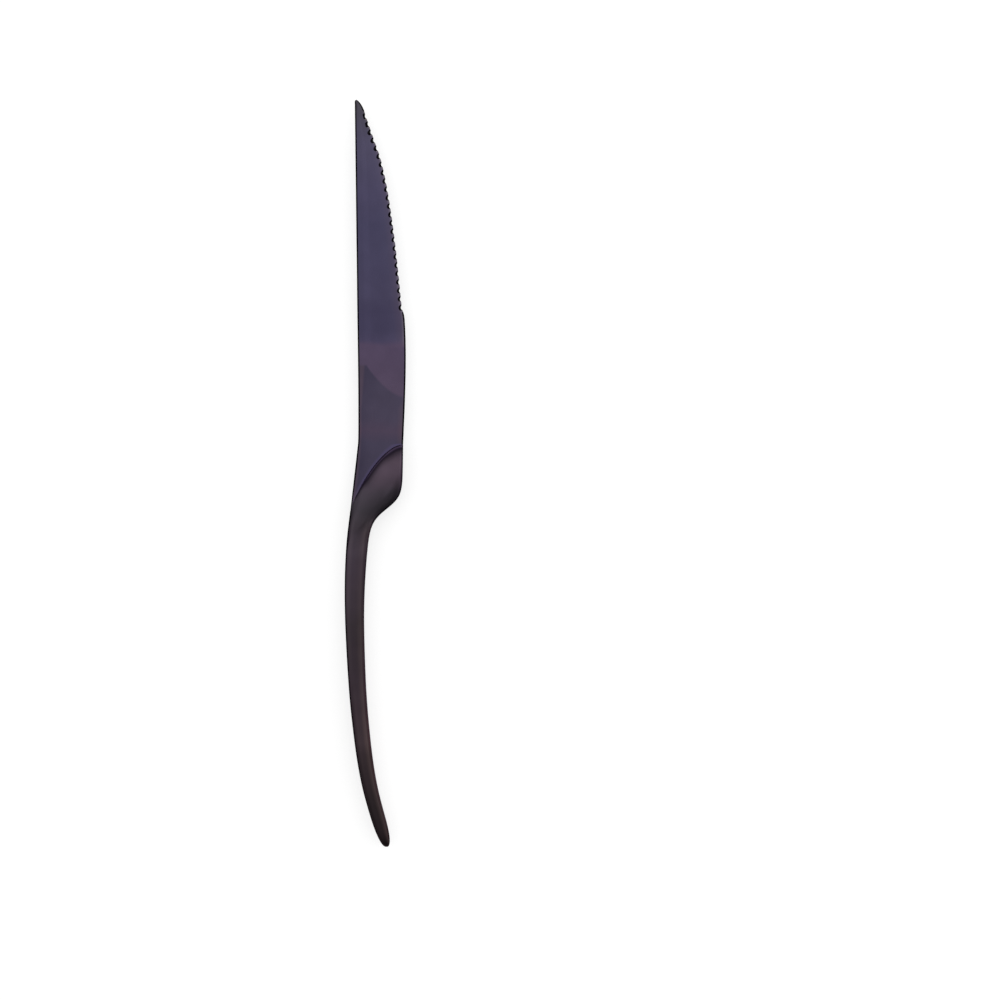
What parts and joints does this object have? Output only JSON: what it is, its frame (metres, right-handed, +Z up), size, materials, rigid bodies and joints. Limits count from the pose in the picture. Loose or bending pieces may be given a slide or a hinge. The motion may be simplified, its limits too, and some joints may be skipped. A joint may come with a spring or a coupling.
{
  "type": "steak knife",
  "caption": "Pointed table knife with a finely serrated blade and a slender swept hollow handle whose rounded front shoulder closes over the blade on a slant.",
  "frame": {"origin": "under the middle of the knife's box, on the surface that it lies on with its left face down", "axes": "+Y along the knife to the tip, +X to the cutting edge, +Z up out of the right face of the blade"},
  "size_m": [0.0208, 0.255, 0.009],
  "materials": {
    "blade_steel": "satin blue-violet vapour-deposited coat on ground steel",
    "handle_steel": "satin brown-black vapour-deposited coat on polished steel",
    "braze": "dark coated braze line",
    "filling": "set grey cement"
  },
  "bodies": {
    "root": {"blade": "blade_steel", "handle_shell_right": "handle_steel", "handle_shell_left": "handle_steel", "handle_filler": "filling", "seam_braze": "braze", "mouth_braze_right": "braze", "mouth_braze_left": "braze"}
  },
  "joints": []
}
